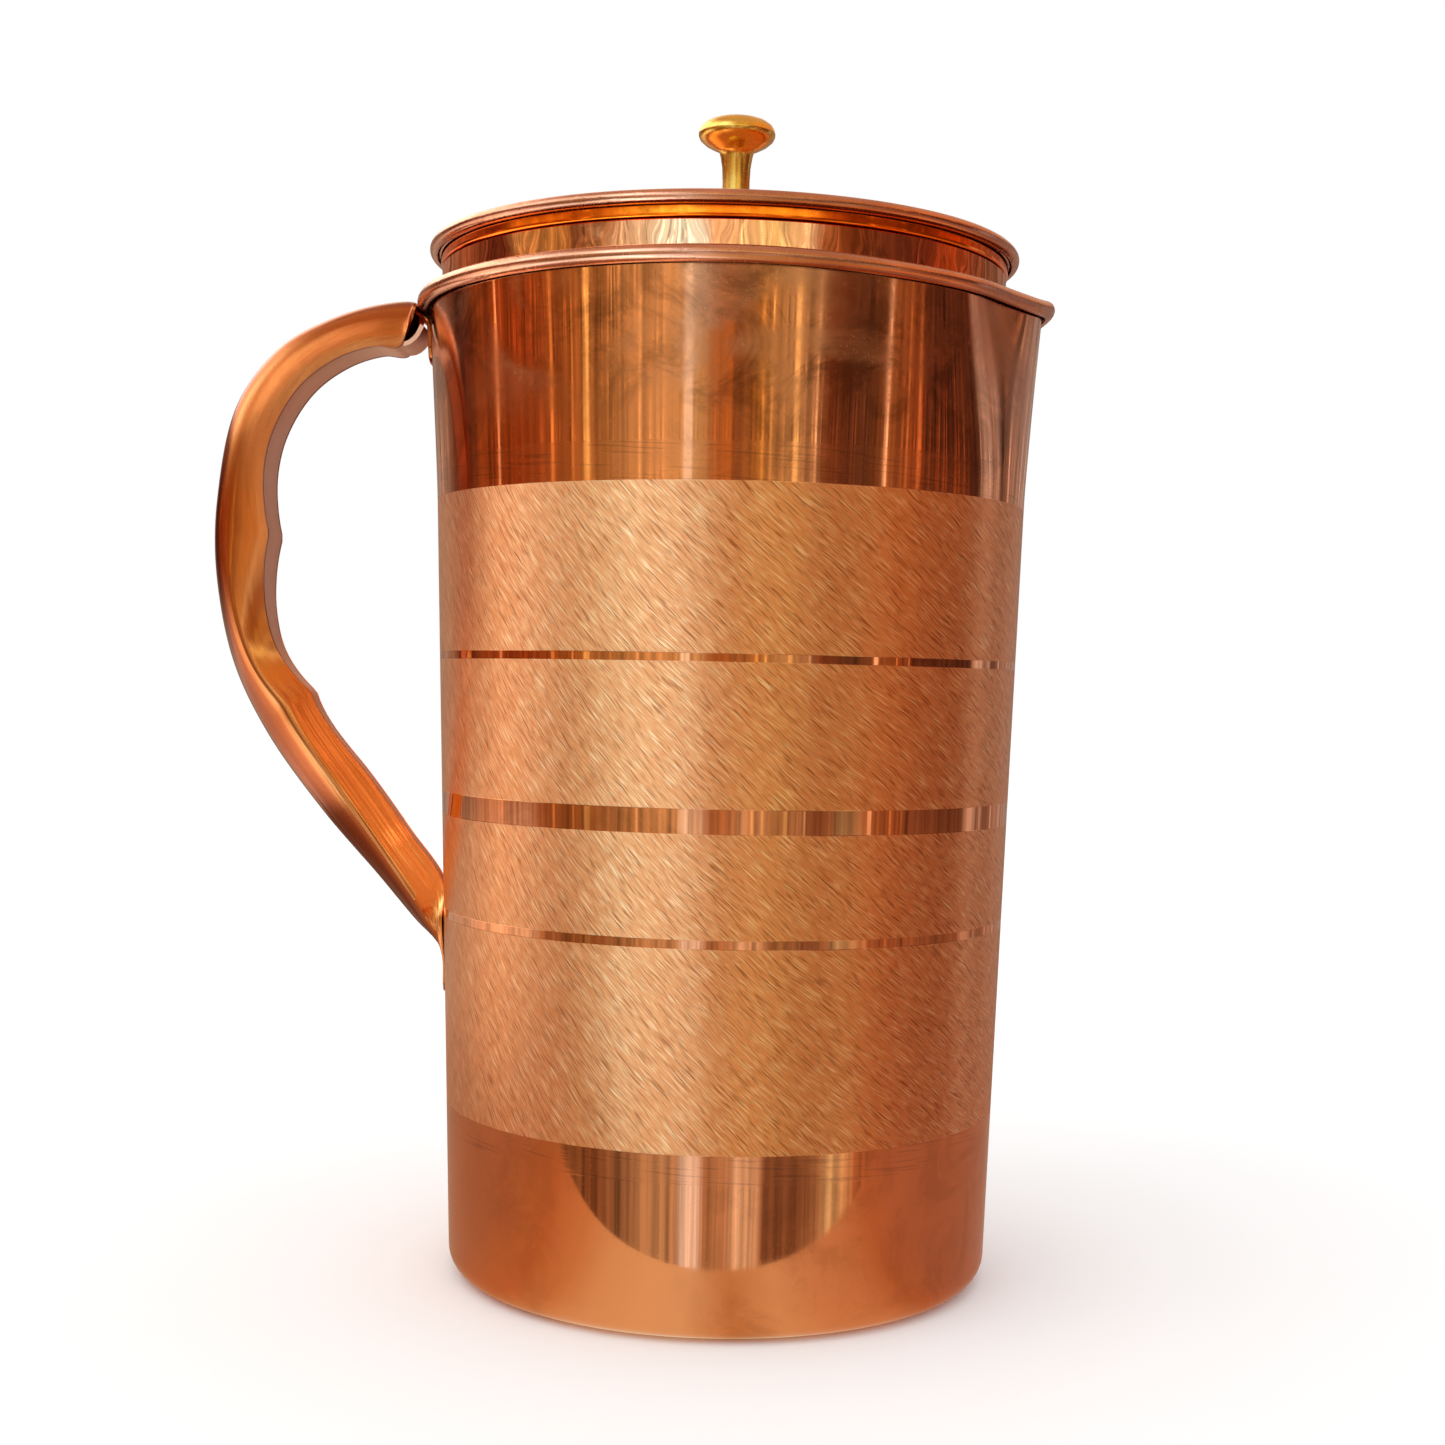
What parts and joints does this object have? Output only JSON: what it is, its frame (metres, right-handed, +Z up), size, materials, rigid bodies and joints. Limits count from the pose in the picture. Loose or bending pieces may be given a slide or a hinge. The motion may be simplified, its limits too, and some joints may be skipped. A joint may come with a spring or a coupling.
{
  "type": "copper water jug",
  "caption": "Tall tapered spun copper jug with a pinched pouring lip, a folded strip handle with finger scallops and a lift-off lid with a turned brass knob.",
  "frame": {"origin": "centre of the flat underside, on the axis of the jug, where it stands on the table", "axes": "+Z up along the axis of the jug; +X towards the pouring lip; the handle is towards -X; the handle and the lip lie in the plane Y = 0"},
  "size_m": [0.1542, 0.116, 0.2121],
  "materials": {
    "polished_copper": "polished, with turned rings and bands of diagonal hand brushing",
    "satin_copper": "satin, hand buffed",
    "iron_wire": "drawn wire, hidden in the rolled edges",
    "brass": "turned and buffed"
  },
  "bodies": {
    "jug": {"jug_body": "polished_copper", "rim_wire": "iron_wire", "lid_seat": "polished_copper", "handle_shell": "satin_copper", "handle_grip": "satin_copper"},
    "lid": {"lid_top": "polished_copper", "lid_edge_wire": "iron_wire", "lid_skirt": "polished_copper", "knob": "brass", "knob_screw": "brass", "knob_washer": "brass"}
  },
  "joints": [
    {"name": "lid_lift", "type": "slide", "parent": "jug", "child": "lid", "axis": [0, 0, 1], "range_m": [0, 0.06]}
  ]
}
